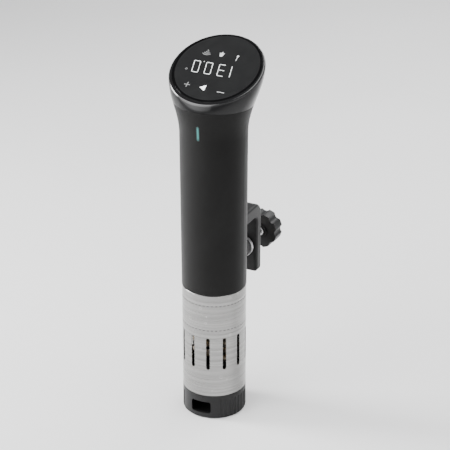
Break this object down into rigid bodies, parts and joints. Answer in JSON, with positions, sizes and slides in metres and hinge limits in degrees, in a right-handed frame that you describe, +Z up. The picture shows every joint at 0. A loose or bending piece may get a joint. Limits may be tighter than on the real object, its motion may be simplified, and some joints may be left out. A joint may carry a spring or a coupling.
{
  "type": "sous vide circulator",
  "caption": "Wand-shaped immersion circulator with a tilted round control glass, a status light, a steel heater skirt, a turning flow cap and a screw clamp for a pot's wall.",
  "frame": {"origin": "centre of the flat base under the flow cap, on the body's axis", "axes": "+Z up along the body's axis, -Y towards the front with the status light, +Y towards the pot clamp, +X to the right seen from the front"},
  "size_m": [0.0798, 0.134, 0.3242],
  "materials": {
    "casing_black": "fine matte texture",
    "head_black": "polished",
    "display_glass": "dark satin, printed behind",
    "bracket_black": "moulded matte",
    "cover_grey": "satin",
    "cap_plastic": "moulded matte",
    "pump_plastic": "moulded satin",
    "carrier_plastic": "moulded",
    "rubber_black": "moulded",
    "lead_insulation": "silicone sleeve",
    "skirt_steel": "brushed around",
    "heater_steel": "drawn, slightly heat-tinted",
    "plain_steel": "machined",
    "motor_steel": "plated",
    "magnet_grey": "coated magnet",
    "winding_copper": "enamelled copper",
    "bush_bronze": "sintered bronze",
    "insert_brass": "turned",
    "mount_aluminium": "cast",
    "sink_aluminium": "extruded",
    "board_green": "solder mask",
    "component_black": "moulded",
    "capacitor_sleeve": "shrink sleeve",
    "terminal_green": "moulded",
    "ribbon_amber": "polyimide film",
    "lamp_white": "diffusing",
    "light_teal": "diffusing light pipe, lit"
  },
  "bodies": {
    "circulator": {"board_carrier": "carrier_plastic", "board_screws": "plain_steel", "body_housing": "casing_black", "bracket_screws": "plain_steel", "clamp_bracket": "bracket_black", "cord_gland": "bracket_black", "digit_module": "lamp_white", "display_board": "board_green", "display_frame": "carrier_plastic", "display_lens": "display_glass", "display_ribbon": "ribbon_amber", "display_screws": "plain_steel", "flange_nuts": "plain_steel", "flange_seal": "rubber_black", "head_cap": "head_black", "head_seal": "rubber_black", "heat_sink": "sink_aluminium", "heater_coil": "heater_steel", "heater_flange": "plain_steel", "heater_leads": "lead_insulation", "heater_terminals": "heater_steel", "jaw_pad": "rubber_black", "key_lamps": "lamp_white", "lens_gasket": "rubber_black", "level_probes": "heater_steel", "lower_bearing": "plain_steel", "mains_capacitor": "capacitor_sleeve", "motor_can": "motor_steel", "motor_end_plate": "motor_steel", "motor_mount": "mount_aluminium", "power_board": "board_green", "pump_baffle": "cap_plastic", "radio_module": "board_green", "relay": "component_black", "shaft_bush": "bush_bronze", "shaft_seal": "rubber_black", "shaft_tube": "plain_steel", "stator_coils": "winding_copper", "stator_core": "motor_steel", "status_board": "board_green", "status_light": "light_teal", "temperature_probe": "heater_steel", "terminal_block": "terminal_green", "threaded_insert": "insert_brass", "transformer": "component_black", "upper_bearing": "plain_steel"},
    "rotor": {"pump_shaft": "plain_steel", "impeller": "pump_plastic", "impeller_nut": "plain_steel", "rotor_magnet": "magnet_grey"},
    "skirt": {"skirt": "skirt_steel"},
    "flow_cap": {"flow_cap": "cap_plastic", "cap_friction_ring": "rubber_black"},
    "clamp_jaw": {"pressure_plate": "mount_aluminium", "pressure_pad": "rubber_black"},
    "clamp_screw": {"clamp_screw": "plain_steel", "clamp_knob": "bracket_black", "knob_cover": "cover_grey"}
  },
  "joints": [
    {"name": "impeller_spin", "type": "hinge", "parent": "circulator", "child": "rotor", "pos_m": [0, 0, 0.08], "axis": [0, 0, 1], "continuous": true},
    {"name": "skirt_pull", "type": "slide", "parent": "circulator", "child": "skirt", "axis": [0, 0, -1], "range_m": [0, 0.12]},
    {"name": "flow_cap_turn", "type": "hinge", "parent": "skirt", "child": "flow_cap", "pos_m": [0, 0, 0.011], "axis": [0, 0, 1], "continuous": true},
    {"name": "jaw_travel", "type": "slide", "parent": "circulator", "child": "clamp_jaw", "axis": [0, -1, 0], "range_m": [0, 0.019]},
    {"name": "screw_turn", "type": "hinge", "parent": "clamp_jaw", "child": "clamp_screw", "pos_m": [0, 0.07, 0.128], "axis": [0, -1, 0], "range_deg": [0, 2740]}
  ],
  "couplings": [
    {"joint": "screw_turn", "follows": "jaw_travel", "rad_per_m": 2513.3}
  ]
}
